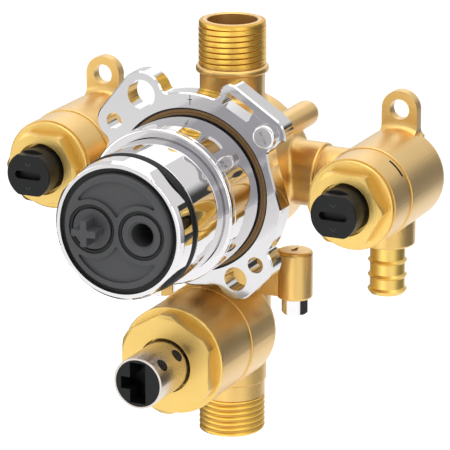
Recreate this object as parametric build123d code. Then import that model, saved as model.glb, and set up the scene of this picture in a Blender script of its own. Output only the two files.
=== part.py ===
from build123d import *
from math import acos, cos, pi, sin
import os

# Shower rough-in valve. Millimetres; X to the right, Y back into the wall, Z up.
# The origin is where the cartridge axis meets the front face of the mounting plate.

# Fits
fit_gap = 0.05          # between pieces that stay together
running_gap = 0.08      # round a turning stem
free_gap = 0.4          # between turning pieces and whatever they pass
cut_over = 1.0          # how far a cutting tool reaches past the face it opens

# Cartridge sleeve, and the chamber that it is screwed into
sleeve_r = 24.6
sleeve_end_y = -21.5
bead_w = 1.9
bead_round = 0.9
bead_groove = 0.3
barrel_step = 2.8       # from the sleeve down to the barrel
barrel_end_y = -39.5
groove_w = 1.2
groove_depth = 0.4
spigot_step = 1.9       # from the barrel down to the spigot
spigot_wall = 1.7
barrel_r = sleeve_r - barrel_step
groove_r = barrel_r - groove_depth
sleeve_spigot_r = barrel_r - spigot_step
sleeve_bore_r = sleeve_spigot_r - spigot_wall
sleeve_spigot_end_y = -45.5
socket_wall = 2.3       # of the sleeve inside the body's socket
socket_depth = 8.0
socket_r = sleeve_bore_r + socket_wall
chamber_step = 0.2
chamber_r = sleeve_bore_r - chamber_step
chamber_back_y = 21.5

# Bonnet nut and the rings under it
gasket_w = 2.1
gasket_rise = 0.1       # of the gasket over the barrel
gasket_taper = 0.7
gasket_lip = 1.0
nut_sink = 0.3          # of the nut under the barrel
nut_front_y = -49.0
nut_bevel = 1.3
nut_bevel_in = 0.9
nut_lip_t = 1.8
nut_lip = 0.4
nut_rim_t = 0.35        # thin rim behind the nut's groove, seated on the gasket
nut_rim_sink = 0.5
nut_groove_w = 0.45
nut_groove_wall = 0.35
nut_flats = 4
nut_flat_depth = 1.0
gasket_back_r = barrel_r + gasket_rise
gasket_front_r = gasket_back_r - gasket_taper
nut_r = barrel_r - nut_sink
nut_lip_r = sleeve_spigot_r - nut_lip

# Flush plug
plug_gap = 0.4
plug_r = sleeve_bore_r - plug_gap
plug_front_y = -50.0
plug_round = 1.3
plug_flange_t = 0.9
plug_cup_end_y = -42.0
plug_rim = 1.9          # of the face outside the two port grooves
port_gap = 0.6          # half the land between the two grooves
port_x = (plug_r - plug_rim + port_gap) / 2
plug_groove_r = port_x - port_gap
plug_groove_w = 1.35
plug_groove_depth = 1.4
plug_island_r = plug_groove_r - plug_groove_w
plug_port_wall = 2.65
plug_port_flare = 0.8
plug_port_r = plug_island_r - plug_port_wall
plug_nozzle_wall = 1.75
plug_nozzle_r = plug_port_r + plug_nozzle_wall
plug_tube_step = 1.2
plug_tube_r = plug_nozzle_r + plug_tube_step
plug_ring_w = 1.55      # of the raised ring round each groove
plug_ring_r = plug_groove_r + plug_ring_w
plug_recess_rim = 2.2
plug_recess_r = plug_r - plug_recess_rim
plug_recess_depth = 0.9
plug_recess_round = 0.5
plug_web_t = 4.0
plug_disc_gap = 0.6
plug_disc_r = chamber_r - plug_disc_gap
plug_disc_t = 6.0
plug_nozzle_h = 3.5
port_seal_w = 1.7
face_seal_w = 0.9       # rubber rings in the two grooves of the face
face_seal_sink = 0.35
cap_depth = 6.0
cap_round = 0.3
cap_grip = 8.1          # cross by which the cap is pulled out
cap_grip_w = 2.1
cap_grip_h = 5.4
cap_grip_round = 0.4
plug_seal_depth = 2.4

# Body casting
drum_wall = 3.5
drum_r = socket_r + drum_wall
drum_back_y = 42.0
drum_round = 4.0
plate_t = 6.5
pipe_y = 30.5
pipe_r = 10.3
waterway_r = 6.5
outlet_bore_r = 8.0
outlet_bore_depth = 15.5
outlet_rim = 0.3
spigot_r = 10.1
end_bevel = 0.8
top_neck_z = 31.3
collar_r = 11.5
collar_h = 2.2
top_end_z = 47.9
lower_neck_r = 12.5
lower_pipe_r = 11.1
lower_step_z = -70.8
lower_step = 0.5
lower_relief_r = lower_pipe_r - lower_step
lower_thread_z = -74.0
bottom_end_z = -88.5
side_y = 31.5
side_z = 0.5
side_pipe_r = 10.3
side_waterway_r = 6.0
port_wall = 0.55
port_r = plug_port_r + port_wall
port_land = 0.6         # keeps the side waterway's end off the port's wall
mixed_port_r = 3.5
mixed_port_edge = 4.6
mixed_port_z = chamber_r - mixed_port_edge
septum = 3.0            # wall between the hot, cold and mixed waterways
cast_round = 0.8
cast_blend = 1.5        # where the pipes run into the drum

# Mounting plate
plate_hole_gap = 1.6
plate_hole_r = sleeve_r + plate_hole_gap
plate_ring_w = 4.8
plate_ring_r = plate_hole_r + plate_ring_w
side_pipe_reach = 1.0
side_pipe_end_x = plate_ring_r + side_pipe_reach
plate_bevel = 0.45
plate_blend = 2.0
plate_trim = ((-5.1, 16.2), (-4.0, 9.9), (-0.05, -3.0))     # x from the ring's edge, and z
plate_trim_reach = 9.0
screw_turn = 38.2
screw_reach = 1.83      # of the screws beyond the ring's edge
screw_x = (plate_ring_r + screw_reach) * cos(screw_turn * pi / 180)
screw_z = (plate_ring_r + screw_reach) * sin(screw_turn * pi / 180)
screw_ear_r = 6.4
screw_ear_flat = 1.3    # the strap's lower side lies this far under the screw's axis
screw_seat_r = 4.4
screw_r = 2.0
screw_hole_gap = 0.3
screw_length = 10.0
screw_head_r = 3.8
screw_head_h = 2.3
screw_head_round = 0.9
screw_recess = 4.2
screw_recess_w = 1.0
screw_recess_depth = 1.2
screw_recess_turn = 30
screw_boss_r = 4.1
screw_boss_back_y = 33.0
screw_boss_nose = 0.6
screw_web_t = 5.0
screw_web_top_y = 8.5
screw_web_back_y = (32.0, 22.0)
strap_end = (66.65, 3.31, 3.6)          # turn, reach beyond the ring's edge, radius
strap_slot_place = (60.12, 1.52)
strap_slot = (10.1, 4.6)
strap_slot_round = 0.7
strap_slot_lean = 0.78
tall_ear = ((144.15, 1.45, 6.0, 2.65), (120.43, 2.17, 7.4, 4.7))
low_ear = ((-43.95, -0.02, 5.8, 2.6), (-60.05, 0.05, 6.8, 3.8))

# Side bosses with their plugs
side_boss_x = 23.4
side_boss_y = 27.5
side_boss_r = 5.7
side_boss_top_z = -24.0
side_boss_bottom_z = -39.7
side_boss_web_t = 8.0
side_boss_rounds = (0.8, 1.3)
side_web_trim = (0.7, 1.5)  # the web stays this far inside the boss, below and above
side_plug_flats = 7.5
side_plug_corner = 1.12     # corner radius over half the flats
side_plug_chamfer = (0.5, 0.4)
side_plug_h = 5.2
side_plug_shank_r = 3.0
side_plug_shank_h = 8.0
side_plug_room = 1.0
side_seal_t = 1.0
side_seal_w = 0.5
side_seal_r = side_plug_shank_r + side_seal_w
dimple_r = 1.1
dimple_slot = (0.9, 3.4)
dimple_shift = 0.6
dimple_depth = 0.7

# Diverter
diverter_z = -51.8
diverter_front_y = -11.7
diverter_r = 17.2
diverter_step_y = 8.5
diverter_step = 0.4
diverter_back_y = 29.0
diverter_round = 4.0
diverter_wall = 3.75
diverter_socket_r = diverter_r - diverter_wall
diverter_socket_end_y = 3.0
diverter_flange_lip = 0.1
diverter_flange_r = diverter_r + diverter_flange_lip
diverter_flange_t = 1.3
flange_round = 0.5
step_round = 0.35
diverter_nut_face_y = -18.4
diverter_nut_flats = 14.8
diverter_nut_corner_r = 16.1
diverter_stem_r = 8.15
diverter_opening_gap = 0.67
diverter_opening_r = diverter_stem_r + diverter_opening_gap
diverter_opening_depth = 4.9
diverter_nut_end_y = -1.0
diverter_stem_front_y = -36.8
diverter_stem_wall = 0.65
diverter_stem_bore_r = diverter_stem_r - diverter_stem_wall
diverter_stem_bore_end_y = -18.0
diverter_stem_round = 0.3
diverter_collar_r = 10.5
diverter_collar_t = 2.2
diverter_shank_r = 6.0
diverter_cross_hole_r = 2.1
diverter_cross_hole_y = (-32.0, -22.0)
diverter_cross_hole_turn = 41.5
key_sink = 0.2
key_depth = 8.0
key_upright = (-0.15, 0.0, 5.3, 13.0)       # middle and size, from the stem's axis
key_arm = (-3.9, -0.35, 4.0, 3.9)
spool_r = 7.3
spool_gap = 0.3         # round the spool, and before and behind its tongue
spool_front_y = 4.0
spool_back_y = 37.4
spool_port_r = 5.0
tongue_t = 3.0
tongue_h = 3.5
tongue_edge = 0.5
tang_gap = 0.1          # on each side of a tang in its slot

# Stops at both ends
stop_pipe_l = 20.2
stop_x = side_pipe_end_x + stop_pipe_l
stop_z = side_z
stop_front_y = 5.4
stop_front_r = 14.45
stop_step_y = 18.0
stop_step = 0.45
stop_r = stop_front_r + stop_step
stop_back_y = 46.0
stop_round = 3.0
stop_pipe_r = 9.4
stop_socket_r = 8.0
stop_socket_depth = 6.0
stop_wall = 3.0
stop_bore_r = stop_front_r - stop_wall
stop_bore_end_y = 16.2
ball_y = 33.0
ball_r = 9.0
ball_room_round = 6.5
ball_port_r = 4.5
seat_r = 8.0
seat_bore_r = 5.0
seat_gap = 0.15
seat_end = 10.5
seat_start = 6.2
inlet_y = 34.4
inlet_boss_r = 8.6
inlet_boss_z = -19.8
inlet_bore_r = 4.0
inlet_wall = 2.1
inlet_socket_r = inlet_boss_r - inlet_wall
inlet_socket_depth = 6.5
barb_wall = 1.55
barb_r = inlet_bore_r + barb_wall
barb_ridge = 0.65
barb_ridge_r = barb_r + barb_ridge
barb_end_ease = (0.1, 0.2)      # off the last ridge and off the barb's end
barb_ridges_z = (-25.15, -30.0, -34.6)
barb_end_z = -35.9
barb_ridge_h = 1.5
lug_y = 42.15
lug_t = 3.5
lug_hole_z = 21.54
lug_hole_r = 3.25
lug_wall = 2.7
lug_r = lug_hole_r + lug_wall
lug_blend = 2.5
stop_flange_sink = 0.45
stop_flange_r = stop_front_r - stop_flange_sink
stop_flange_t = 1.3
stop_nut_face_y = -1.1
stop_nut_flats = 10.9
stop_nut_corner_r = 12.3
stop_stem_r = 7.55
stop_opening_gap = 0.91
stop_opening_r = stop_stem_r + stop_opening_gap
stop_opening_end_y = 3.0
stop_nut_end_y = 16.0
stop_stem_front_y = -9.25
stop_stem_round = 0.6
stop_stem_flat = 6.5
stop_stem_flat_length = 3.3
stop_slot = (9.2, 2.6)
stop_slot_depth = 2.4
stop_journal_r = 5.0
stop_collar_r = 6.6
stop_collar_t = 1.6
stop_tang = 8.0
stop_tang_t = 3.0
stop_tang_end_y = 26.6
tang_end_gap = 0.3
stop_mark_y = 15.7
stop_mark_w = 1.1
stop_mark_depth = 0.6
stop_mark_angles = (32.0, 57.0)
nut_chamfer = 1.1
nut_chamfer_rise = 0.6  # share of the chamfer along the axis

# Stem seals
ring_wire_r = 0.62
ring_groove_depth = 1.2
ring_groove_w = 2.0
ring_seat = 0.01        # between a ring and the floor of its groove


def outline(points, rounds=()):
    """Closed flat outline; rounds lists a corner's number and its radius."""
    shape = Polygon(*points, align=None)
    for corner, radius in rounds:
        spot = Vector(*points[corner])
        vertex = shape.vertices().sort_by_distance(spot)[0]
        shape = fillet(vertex, radius)
    return shape


def turned_y(points, rounds=(), x=0, z=0):
    """Solid turned about an axis along Y; points are (radius, y)."""
    return Pos(x, 0, z) * revolve(outline(points, rounds), Axis.Y)


def turned_z(points, rounds=(), x=0, y=0):
    """Solid turned about an upright axis; points are (radius, z)."""
    return Pos(x, y, 0) * revolve(Plane.XZ * outline(points, rounds), Axis.Z)


def rod_y(radius, start, end, x=0, z=0):
    return turned_y([(0, start), (radius, start), (radius, end), (0, end)], (), x, z)


def rod_z(radius, start, end, x=0, y=0):
    return turned_z([(0, start), (radius, start), (radius, end), (0, end)], (), x, y)


def rod_x(radius, start, end, y=0, z=0, rounds=()):
    points = [(start, 0), (start, radius), (end, radius), (end, 0)]
    return Pos(0, y, z) * revolve(outline(points, rounds), Axis.X)


def ring_y(inner, outer, start, end, x=0, z=0):
    return turned_y([(inner, start), (outer, start), (outer, end), (inner, end)], (), x, z)


def slab(shape, start, end):
    """Extrudes a front view drawn as (X, Z) from y = start to y = end."""
    back = Plane((0, end, 0), x_dir=(1, 0, 0), z_dir=(0, -1, 0))
    return extrude(back * shape, end - start)


def box(x0, x1, y0, y1, z0, z1):
    size = Box(x1 - x0, y1 - y0, z1 - z0)
    return Pos((x0 + x1) / 2, (y0 + y1) / 2, (z0 + z1) / 2) * size


def hull(first, second):
    """Flat shape round two discs, each given as (x, z, radius)."""
    x1, z1, r1 = first
    x2, z2, r2 = second
    reach = Vector(x2 - x1, z2 - z1)
    lean = acos((r1 - r2) / reach.length)
    heading = reach.get_signed_angle(Vector(1, 0), Vector(0, 0, -1)) * pi / 180
    corners = []
    for x, z, r, side in ((x1, z1, r1, -1), (x2, z2, r2, -1), (x2, z2, r2, 1), (x1, z1, r1, 1)):
        angle = heading + side * lean
        corners.append((x + r * cos(angle), z + r * sin(angle)))
    discs = Pos(x1, z1) * Circle(r1) + Pos(x2, z2) * Circle(r2)
    return discs + Polygon(*corners, align=None)


def hexagon(half_flats, corner_r, start, end, turn, x, z):
    """Hexagonal nut head along Y, its corners turned down and its front edge bevelled."""
    shape = Pos(x, z) * RegularPolygon(half_flats, 6, major_radius=False, rotation=turn)
    front = [(0, start), (corner_r - nut_chamfer, start), (corner_r, start + nut_chamfer * nut_chamfer_rise)]
    envelope = turned_y(front + [(corner_r, end), (0, end)], (), x, z)
    return slab(shape, start, end) & envelope


def on_ring(turn, reach):
    """Front view place at an angle, a little outside or inside the plate ring's edge."""
    distance = plate_ring_r + reach
    return distance * cos(turn * pi / 180), distance * sin(turn * pi / 180)


def stem_ring(radius, y, x, z):
    """Seal in the groove of a stem; radius is the stem's."""
    middle = radius - ring_groove_depth + ring_wire_r + ring_seat
    circle = Pos(middle, y) * Circle(ring_wire_r)
    return Pos(x, 0, z) * revolve(circle, Axis.Y)


def stem_groove(radius, y, x, z):
    half = ring_groove_w / 2
    return ring_y(radius - ring_groove_depth, radius + cut_over, y - half, y + half, x, z)


def side_web(side):
    """Web that carries a side boss beside the lower neck."""
    half = side_boss_web_t / 2
    reach = sorted((0, side * side_boss_x))
    low_trim, top_trim = side_web_trim
    top = side_boss_top_z - top_trim
    bottom = side_boss_bottom_z + low_trim
    return box(reach[0], reach[1], side_boss_y - half, side_boss_y + half, bottom, top)


def screw_web(side):
    """Web between the drum and a plate screw boss."""
    outer = plate_ring_r + screw_reach - screw_boss_r / 4
    inner = drum_r - drum_round
    front = screw_web_top_y
    back_inner, back_outer = screw_web_back_y
    points = [(inner, front), (outer, front), (outer, back_outer), (inner, back_inner)]
    upright = extrude(outline(points), screw_web_t / 2, both=True)
    return Rot(0, -screw_turn if side > 0 else 180 - screw_turn, 0) * upright


def pipe_joins(solid):
    """The long seams where the drum, the necks and the side pipes run into each other."""
    return [edge for edge in solid.edges() if edge.geom_type == GeomType.BSPLINE and edge.length > drum_round]


def body_casting():
    back = drum_back_y
    drum = [(0, plate_t), (drum_r, plate_t), (drum_r, back), (0, back)]
    solid = turned_y(drum, [(2, drum_round)])
    thread_z = top_neck_z + collar_h
    neck = [
        (0, 0), (pipe_r, 0), (pipe_r, top_neck_z), (collar_r, top_neck_z), (collar_r, thread_z),
        (spigot_r, thread_z), (spigot_r, top_end_z - end_bevel), (spigot_r - end_bevel, top_end_z),
        (0, top_end_z),
    ]
    solid += turned_z(neck, [(3, collar_h / 4), (4, collar_h / 2)], 0, pipe_y)
    solid += rod_z(lower_neck_r, diverter_z - spool_r, 0, 0, pipe_y)
    end = side_pipe_end_x
    solid += rod_x(side_pipe_r, -end, end, side_y, side_z, [(1, cast_round), (2, cast_round)])
    solid = fillet(pipe_joins(solid), cast_blend)
    lower = [
        (0, diverter_z), (lower_pipe_r, diverter_z), (lower_pipe_r, lower_step_z),
        (lower_relief_r, lower_step_z - lower_step), (lower_relief_r, lower_thread_z),
        (spigot_r, lower_thread_z), (spigot_r, bottom_end_z + end_bevel),
        (spigot_r - end_bevel, bottom_end_z), (0, bottom_end_z),
    ]
    solid += turned_z(lower, (), 0, pipe_y)
    step_r = diverter_r + diverter_step
    case = [
        (0, diverter_front_y), (diverter_r, diverter_front_y), (diverter_r, diverter_step_y),
        (step_r, diverter_step_y), (step_r, diverter_back_y), (0, diverter_back_y),
    ]
    solid += turned_y(case, [(3, step_round), (4, diverter_round)], 0, diverter_z)
    for side in (1, -1):
        boss_back = screw_boss_back_y
        boss = [(0, plate_t), (screw_boss_r, plate_t), (screw_boss_r, boss_back), (0, boss_back)]
        nose = screw_boss_r - screw_boss_nose
        solid += turned_y(boss, [(2, nose)], side * screw_x, side * screw_z)
        solid += screw_web(side)
        top = side_boss_top_z
        bottom = side_boss_bottom_z
        stub = [(0, bottom), (side_boss_r, bottom), (side_boss_r, top), (0, top)]
        low_round, top_round = side_boss_rounds
        solid += turned_z(stub, [(1, low_round), (2, top_round)], side * side_boss_x, side_boss_y)
        solid += side_web(side)
    return solid


def body_hollows():
    """Every bore and waterway of the body, as a list of tools."""
    socket = socket_r + fit_gap
    socket_back = plate_t + socket_depth
    front = [
        (0, plate_t - cut_over), (socket, plate_t - cut_over), (socket, socket_back),
        (chamber_r, socket_back),
        (chamber_r, chamber_back_y), (0, chamber_back_y),
    ]
    tools = [turned_y(front)]
    mixed_z = side_waterway_r + septum + side_z
    rim = outlet_bore_r + outlet_rim
    ledge = top_end_z - outlet_bore_depth
    top = [
        (0, mixed_z), (waterway_r, mixed_z), (waterway_r, ledge), (outlet_bore_r, ledge),
        (outlet_bore_r, top_end_z - outlet_rim), (rim, top_end_z), (rim, top_end_z + cut_over),
        (0, top_end_z + cut_over),
    ]
    tools.append(turned_z(top, (), 0, pipe_y))
    ledge = bottom_end_z + outlet_bore_depth
    low = [
        (0, -mixed_z), (waterway_r, -mixed_z), (waterway_r, ledge), (outlet_bore_r, ledge),
        (outlet_bore_r, bottom_end_z + outlet_rim), (rim, bottom_end_z),
        (rim, bottom_end_z - cut_over), (0, bottom_end_z - cut_over),
    ]
    tools.append(Pos(0, pipe_y, 0) * Rot(0, 0, 90) * turned_z(low))
    for z in (mixed_port_z, -mixed_port_z):
        tools.append(rod_y(mixed_port_r, chamber_back_y - cut_over, pipe_y, 0, z))
    for side in (1, -1):
        inner = side * (port_x - port_r - port_land)
        ledge = side * (side_pipe_end_x - stop_socket_depth)
        mouth = side * (side_pipe_end_x + cut_over)
        tools.append(rod_x(side_waterway_r, inner, ledge, side_y, side_z))
        tools.append(rod_x(stop_socket_r + fit_gap, ledge, mouth, side_y, side_z))
        tools.append(rod_y(port_r, chamber_back_y - cut_over, side_y, side * port_x, 0))
        thread_end = screw_length + cut_over
        tools.append(rod_y(screw_r + fit_gap, plate_t - cut_over, thread_end, side * screw_x, side * screw_z))
        x = side * side_boss_x
        top = side_boss_bottom_z + side_plug_shank_h + side_plug_room
        hole = [
            (0, side_boss_bottom_z - cut_over), (side_seal_r + fit_gap, side_boss_bottom_z - cut_over),
            (side_seal_r + fit_gap, side_boss_bottom_z + side_seal_t),
            (side_plug_shank_r + fit_gap, side_boss_bottom_z + side_seal_t),
            (side_plug_shank_r + fit_gap, top), (0, top),
        ]
        tools.append(turned_z(hole, (), x, side_boss_y))
        dimple = Pos(x, side_boss_y - dimple_shift) * Circle(dimple_r)
        dimple += Pos(x, side_boss_y + dimple_shift) * Rectangle(*dimple_slot)
        tools.append(extrude(Pos(0, 0, side_boss_top_z - dimple_depth) * dimple, cut_over + dimple_depth))
    room = spool_r + spool_gap
    socket = [
        (0, diverter_front_y - cut_over), (diverter_socket_r, diverter_front_y - cut_over),
        (diverter_socket_r, diverter_socket_end_y), (room, diverter_socket_end_y),
        (room, spool_back_y + free_gap), (0, spool_back_y + free_gap),
    ]
    tools.append(turned_y(socket, (), 0, diverter_z))
    return tools


def valve_body():
    solid = body_casting()
    for tool in body_hollows():
        solid -= tool
    return solid


def mounting_plate():
    edge = [(plate_ring_r + x, z) for x, z in plate_trim]
    far = plate_ring_r + plate_trim_reach
    trim = outline(edge + [(far, edge[-1][1]), (far, edge[0][1])])
    strap_turn, strap_reach, strap_end_r = strap_end
    strap = hull((screw_x, screw_z, screw_ear_r), (*on_ring(strap_turn, strap_reach), strap_end_r))
    below = screw_z - screw_ear_flat
    strap -= Pos(screw_x, below / 2) * Rectangle(2 * screw_x, below)
    strap += Pos(screw_x, screw_z) * Circle(screw_seat_r)
    shape = Circle(plate_ring_r)
    for turn in (0, 180):
        shape -= Rot(0, 0, turn) * trim
    for turn in (0, 180):
        shape += Rot(0, 0, turn) * strap
    holes = []
    for ear in (tall_ear, low_ear):
        discs = [(*on_ring(turn, reach), ear_r) for turn, reach, ear_r, hole_r in ear]
        shape += hull(*discs)
        holes += [Pos(*on_ring(turn, reach)) * Circle(hole_r) for turn, reach, ear_r, hole_r in ear]
    shape = offset(offset(shape, plate_blend), -plate_blend)
    shape -= Circle(plate_hole_r)
    for hole in holes:
        shape -= hole
    slot_turn, slot_reach = strap_slot_place
    slot = Rot(0, 0, slot_turn - 90 + strap_slot_lean) * RectangleRounded(*strap_slot, strap_slot_round)
    slot = Pos(*on_ring(slot_turn, slot_reach)) * slot
    for turn in (0, 180):
        shape -= Rot(0, 0, turn) * slot
        shape -= Rot(0, 0, turn) * Pos(screw_x, screw_z) * Circle(screw_r + screw_hole_gap)
    solid = slab(shape, 0, plate_t)
    front = solid.faces().sort_by(Axis.Y)[0]
    return chamfer(front.outer_wire().edges(), plate_bevel)


def plate_screw(side):
    x = side * screw_x
    z = side * screw_z
    head = [(0, -screw_head_h), (screw_head_r, -screw_head_h), (screw_head_r, 0), (0, 0)]
    solid = turned_y(head, [(1, screw_head_round)], x, z)
    solid += rod_y(screw_r, 0, screw_length, x, z)
    for turn in (screw_recess_turn, screw_recess_turn + 90):
        bar = Location((x, z, 0), (0, 0, turn)) * Rectangle(screw_recess, screw_recess_w)
        solid -= slab(bar, -screw_head_h - cut_over, -screw_head_h + screw_recess_depth)
    return solid


def cartridge_sleeve():
    neck = sleeve_end_y
    back = plate_t + socket_depth - 2 * fit_gap
    bead_back = neck + bead_w
    slope = bead_groove * 2 / 3
    points = [
        (sleeve_bore_r, sleeve_spigot_end_y), (sleeve_spigot_r, sleeve_spigot_end_y),
        (sleeve_spigot_r, barrel_end_y), (barrel_r, barrel_end_y), (barrel_r, neck - groove_w),
        (groove_r, neck - groove_w), (groove_r, neck), (sleeve_r, neck),
        (sleeve_r, bead_back), (sleeve_r - bead_groove, bead_back + slope),
        (sleeve_r - bead_groove, bead_back + slope + bead_groove),
        (sleeve_r, bead_back + 2 * slope + bead_groove),
        (sleeve_r, plate_t), (socket_r, plate_t), (socket_r, back), (sleeve_bore_r, back),
    ]
    return turned_y(points, [(3, groove_depth), (7, bead_round)])


def bonnet_gasket():
    front = barrel_end_y - gasket_w
    inner = sleeve_spigot_r + fit_gap
    points = [
        (inner, front), (gasket_front_r, front), (gasket_back_r, barrel_end_y - gasket_lip),
        (gasket_back_r, barrel_end_y), (inner, barrel_end_y),
    ]
    return turned_y(points, [(1, gasket_lip / 2), (2, gasket_lip / 2), (3, gasket_lip / 4)])


def bonnet_nut():
    rim_back = barrel_end_y - gasket_w
    back = rim_back - nut_rim_t - nut_groove_w
    inner = sleeve_spigot_r + 2 * fit_gap
    lip = nut_front_y + nut_lip_t
    points = [
        (nut_lip_r, nut_front_y), (nut_r - nut_bevel_in, nut_front_y), (nut_r, nut_front_y + nut_bevel),
        (nut_r, back), (inner + nut_groove_wall, back),
        (inner + nut_groove_wall, back + nut_groove_w), (nut_r - nut_rim_sink, back + nut_groove_w),
        (nut_r - nut_rim_sink, rim_back), (inner, rim_back), (inner, lip), (nut_lip_r, lip),
    ]
    solid = turned_y(points, [(1, nut_bevel / 3), (2, nut_bevel / 3)])
    flat_x = nut_r - nut_flat_depth
    for number in range(nut_flats):
        turn = 360 / nut_flats * (number + 0.5)
        cut_end = back + nut_groove_w / 2
        cutter = box(flat_x, nut_r + cut_over, nut_front_y - cut_over, cut_end, -nut_r, nut_r)
        solid -= Rot(0, turn, 0) * cutter
    return solid


def flush_plug():
    flange_r = sleeve_spigot_r
    flange_back = sleeve_spigot_end_y
    flange_front = flange_back - plug_flange_t
    front = plug_front_y
    cup = [
        (0, front), (plug_r, front), (plug_r, flange_front), (flange_r, flange_front),
        (flange_r, flange_back), (plug_r, flange_back), (plug_r, plug_cup_end_y), (0, plug_cup_end_y),
    ]
    solid = turned_y(cup, [(1, plug_round)])
    back = chamber_back_y - plug_nozzle_h
    disc = back - plug_disc_t
    for side in (1, -1):
        x = side * port_x
        solid += rod_y(plug_tube_r, plug_cup_end_y - cut_over, disc + cut_over, x)
        solid += rod_y(plug_nozzle_r, back - cut_over, chamber_back_y - free_gap, x)
    half = plug_web_t / 2
    solid += box(-port_x, port_x, plug_cup_end_y - cut_over, disc + cut_over, -half, half)
    solid += rod_y(plug_disc_r, disc, back)
    crescents = Circle(plug_recess_r)
    groove_front = front - cut_over
    for side in (1, -1):
        x = side * port_x
        crescents -= Pos(x, 0) * Circle(plug_ring_r)
        groove = ring_y(plug_island_r, plug_groove_r, groove_front, front + plug_groove_depth, x)
        solid -= groove
    crescents = offset(offset(crescents, -plug_recess_round), plug_recess_round)
    solid -= slab(crescents, groove_front, front + plug_recess_depth)
    mouth = front + plug_port_flare
    wide = plug_port_r + plug_port_flare
    port = [
        (0, groove_front), (wide, groove_front), (wide, front), (plug_port_r, mouth),
        (plug_port_r, chamber_back_y), (0, chamber_back_y),
    ]
    solid -= turned_y(port, (), port_x)
    solid -= rod_y(plug_island_r, groove_front, front + cap_depth, -port_x)
    return solid


def plug_cap():
    """Cap of the blind port, with the cross by which it is pulled out."""
    front = plug_front_y
    cap_r = plug_island_r - fit_gap
    cap = [(0, front), (cap_r, front), (cap_r, front + cap_depth), (0, front + cap_depth)]
    solid = turned_y(cap, [(1, cap_round)], -port_x)
    grip = Rectangle(cap_grip, cap_grip_w) + Rectangle(cap_grip_w, cap_grip)
    grip = fillet(grip.vertices(), cap_grip_round)
    return solid + slab(Pos(-port_x, 0) * grip, front - cap_grip_h, front + cap_round)


def plug_seal():
    """Black ring between the plug and the lip of the bonnet nut."""
    lip = nut_front_y + nut_lip_t
    shoulder = sleeve_spigot_end_y - plug_flange_t
    inner = plug_r + fit_gap
    points = [
        (inner, plug_front_y + plug_seal_depth), (nut_lip_r - fit_gap, plug_front_y + plug_seal_depth),
        (nut_lip_r - fit_gap, lip), (sleeve_spigot_r, lip), (sleeve_spigot_r, shoulder), (inner, shoulder),
    ]
    return turned_y(points)


def plug_port_seals():
    """The port seals at the back of the flush plug and in the grooves of its face."""
    inner = plug_nozzle_r + fit_gap
    outer = plug_groove_r - fit_gap
    face = plug_front_y + face_seal_sink
    floor = plug_front_y + plug_groove_depth
    rings = []
    for side in (1, -1):
        rings.append(ring_y(outer - face_seal_w, outer, face, floor, side * port_x).solid())
        back = chamber_back_y - plug_nozzle_h
        ring = ring_y(inner, inner + port_seal_w, back, chamber_back_y, side * port_x)
        rings.append(ring.solid())
    return Compound(rings)


def side_plug():
    """Hexagon plug screwed up into a side boss."""
    bottom = side_boss_bottom_z - side_plug_h
    hexagon_shape = RegularPolygon(side_plug_flats / 2, 6, major_radius=False, rotation=15)
    head = extrude(Pos(0, 0, bottom) * hexagon_shape, side_plug_h)
    corner_r = side_plug_flats / 2 * side_plug_corner
    ease, rise = side_plug_chamfer
    envelope = [
        (0, bottom), (corner_r - ease, bottom), (corner_r, bottom + rise),
        (corner_r, side_boss_bottom_z), (0, side_boss_bottom_z),
    ]
    head = head & turned_z(envelope)
    shank = rod_z(side_plug_shank_r, side_boss_bottom_z, side_boss_bottom_z + side_plug_shank_h)
    return Pos(side_boss_x, side_boss_y, 0) * (head + shank)


def side_plug_seal():
    inner = side_plug_shank_r + fit_gap
    low = side_boss_bottom_z
    high = low + side_seal_t
    points = [(inner, low), (side_seal_r, low), (side_seal_r, high), (inner, high)]
    return turned_z(points, (), side_boss_x, side_boss_y)


def diverter_nut():
    flange_front = diverter_front_y - diverter_flange_t
    solid = hexagon(
        diverter_nut_flats, diverter_nut_corner_r, diverter_nut_face_y, flange_front, 30, 0, diverter_z
    )
    flange = [
        (0, flange_front), (diverter_flange_r, flange_front), (diverter_flange_r, diverter_front_y),
        (diverter_socket_r - fit_gap, diverter_front_y), (diverter_socket_r - fit_gap, diverter_nut_end_y),
        (0, diverter_nut_end_y),
    ]
    solid += turned_y(flange, [(1, flange_round)], 0, diverter_z)
    opening_end = diverter_nut_face_y + diverter_opening_depth
    solid -= rod_y(diverter_opening_r, diverter_nut_face_y - cut_over, opening_end, 0, diverter_z)
    journal = diverter_stem_r + running_gap
    solid -= rod_y(journal, opening_end - cut_over, diverter_nut_end_y + cut_over, 0, diverter_z)
    return solid


def diverter_stem():
    collar_front = diverter_nut_end_y + free_gap
    collar_back = collar_front + diverter_collar_t
    shank_end = spool_front_y - spool_gap
    points = [
        (0, diverter_stem_front_y), (diverter_stem_r, diverter_stem_front_y),
        (diverter_stem_r, collar_front), (diverter_collar_r, collar_front),
        (diverter_collar_r, collar_back), (diverter_shank_r, collar_back),
        (diverter_shank_r, shank_end), (0, shank_end),
    ]
    solid = turned_y(points, [(1, diverter_stem_round)], 0, diverter_z)
    half = tongue_t / 2
    reach = diverter_shank_r - tongue_edge
    low = diverter_z - reach
    solid += box(-half, half, shank_end - cut_over, shank_end + tongue_h, low, diverter_z + reach)
    mouth = diverter_stem_front_y - cut_over
    solid -= rod_y(diverter_stem_bore_r, mouth, diverter_stem_bore_end_y, 0, diverter_z)
    solid -= stem_groove(diverter_stem_r, diverter_ring_y(), 0, diverter_z)
    for y in diverter_cross_hole_y:
        drill = rod_x(diverter_cross_hole_r, 0, diverter_stem_r + cut_over)
        solid -= Pos(0, y, diverter_z) * Rot(0, -diverter_cross_hole_turn, 0) * drill
    return solid


def diverter_ring_y():
    return (diverter_nut_face_y + diverter_opening_depth + diverter_nut_end_y) / 2


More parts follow.
